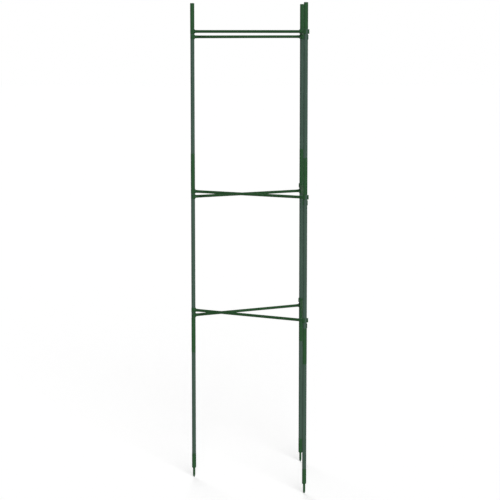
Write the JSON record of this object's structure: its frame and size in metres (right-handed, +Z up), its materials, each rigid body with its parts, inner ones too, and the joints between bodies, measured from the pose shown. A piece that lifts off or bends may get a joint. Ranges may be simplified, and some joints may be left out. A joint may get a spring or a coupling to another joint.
{
  "type": "tomato cage",
  "caption": "Tall triangular plant cage: spiked plug-together stakes tied at several levels by slim cross arms with snap clips that slide up and down, to hold up a tomato plant.",
  "frame": {"origin": "middle of the cage's box, at the level of the spikes' points", "axes": "+Z up along the stakes, +X towards the side between the front and rear stakes, +Y towards the rear stake"},
  "size_m": [0.3672, 0.4198, 1.52],
  "materials": {
    "coated_tube": "satin grey-green plastic coating on steel tube",
    "coated_rod": "satin dark green plastic coating on steel tube",
    "moulded_fitting": "matt green moulded polypropylene",
    "moulded_clip": "matt green moulded polypropylene"
  },
  "bodies": {
    "stakes": {"left_ground_spike": "moulded_fitting", "left_lower_tube": "coated_tube", "left_lower_connector": "moulded_fitting", "left_middle_tube": "coated_tube", "left_upper_connector": "moulded_fitting", "left_upper_tube": "coated_tube", "left_end_piece": "moulded_fitting", "front_ground_spike": "moulded_fitting", "front_lower_tube": "coated_tube", "front_lower_connector": "moulded_fitting", "front_middle_tube": "coated_tube", "front_upper_connector": "moulded_fitting", "front_upper_tube": "coated_tube", "front_end_piece": "moulded_fitting", "rear_ground_spike": "moulded_fitting", "rear_lower_tube": "coated_tube", "rear_lower_connector": "moulded_fitting", "rear_middle_tube": "coated_tube", "rear_upper_connector": "moulded_fitting", "rear_upper_tube": "coated_tube", "rear_end_piece": "moulded_fitting"},
    "top_left_front_arm": {"top_left_front_rod": "coated_rod", "top_left_front_left_clip": "moulded_clip", "top_left_front_front_clip": "moulded_clip"},
    "top_front_rear_arm": {"top_front_rear_rod": "coated_rod", "top_front_rear_front_clip": "moulded_clip", "top_front_rear_rear_clip": "moulded_clip"},
    "top_rear_left_arm": {"top_rear_left_rod": "coated_rod", "top_rear_left_rear_clip": "moulded_clip", "top_rear_left_left_clip": "moulded_clip"},
    "middle_left_front_arm": {"middle_left_front_rod": "coated_rod", "middle_left_front_left_clip": "moulded_clip", "middle_left_front_front_clip": "moulded_clip"},
    "middle_front_rear_arm": {"middle_front_rear_rod": "coated_rod", "middle_front_rear_front_clip": "moulded_clip", "middle_front_rear_rear_clip": "moulded_clip"},
    "middle_rear_left_arm": {"middle_rear_left_rod": "coated_rod", "middle_rear_left_rear_clip": "moulded_clip", "middle_rear_left_left_clip": "moulded_clip"},
    "bottom_left_front_arm": {"bottom_left_front_rod": "coated_rod", "bottom_left_front_left_clip": "moulded_clip", "bottom_left_front_front_clip": "moulded_clip"},
    "bottom_front_rear_arm": {"bottom_front_rear_rod": "coated_rod", "bottom_front_rear_front_clip": "moulded_clip", "bottom_front_rear_rear_clip": "moulded_clip"},
    "bottom_rear_left_arm": {"bottom_rear_left_rod": "coated_rod", "bottom_rear_left_rear_clip": "moulded_clip", "bottom_rear_left_left_clip": "moulded_clip"}
  },
  "joints": [
    {"name": "top_level_slide", "type": "slide", "parent": "stakes", "child": "top_front_rear_arm", "axis": [0, 0, 1], "range_m": [-0.2, 0.03]},
    {"name": "top_left_front_slide", "type": "slide", "parent": "top_front_rear_arm", "child": "top_left_front_arm", "axis": [0, 0, 1], "range_m": [-0.0015, 0.045]},
    {"name": "top_rear_left_slide", "type": "slide", "parent": "top_front_rear_arm", "child": "top_rear_left_arm", "axis": [0, 0, 1], "range_m": [-0.12, 0.0015]},
    {"name": "middle_level_slide", "type": "slide", "parent": "stakes", "child": "middle_front_rear_arm", "axis": [0, 0, 1], "range_m": [-0.1, 0.08]},
    {"name": "middle_left_front_slide", "type": "slide", "parent": "middle_front_rear_arm", "child": "middle_left_front_arm", "axis": [0, 0, 1], "range_m": [-0.0015, 0.05]},
    {"name": "middle_rear_left_slide", "type": "slide", "parent": "middle_front_rear_arm", "child": "middle_rear_left_arm", "axis": [0, 0, 1], "range_m": [-0.05, 0.0015]},
    {"name": "bottom_level_slide", "type": "slide", "parent": "stakes", "child": "bottom_front_rear_arm", "axis": [0, 0, 1], "range_m": [-0.3, 0.12]},
    {"name": "bottom_left_front_slide", "type": "slide", "parent": "bottom_front_rear_arm", "child": "bottom_left_front_arm", "axis": [0, 0, 1], "range_m": [-0.0015, 0.06]},
    {"name": "bottom_rear_left_slide", "type": "slide", "parent": "bottom_front_rear_arm", "child": "bottom_rear_left_arm", "axis": [0, 0, 1], "range_m": [-0.1, 0.0015]}
  ]
}
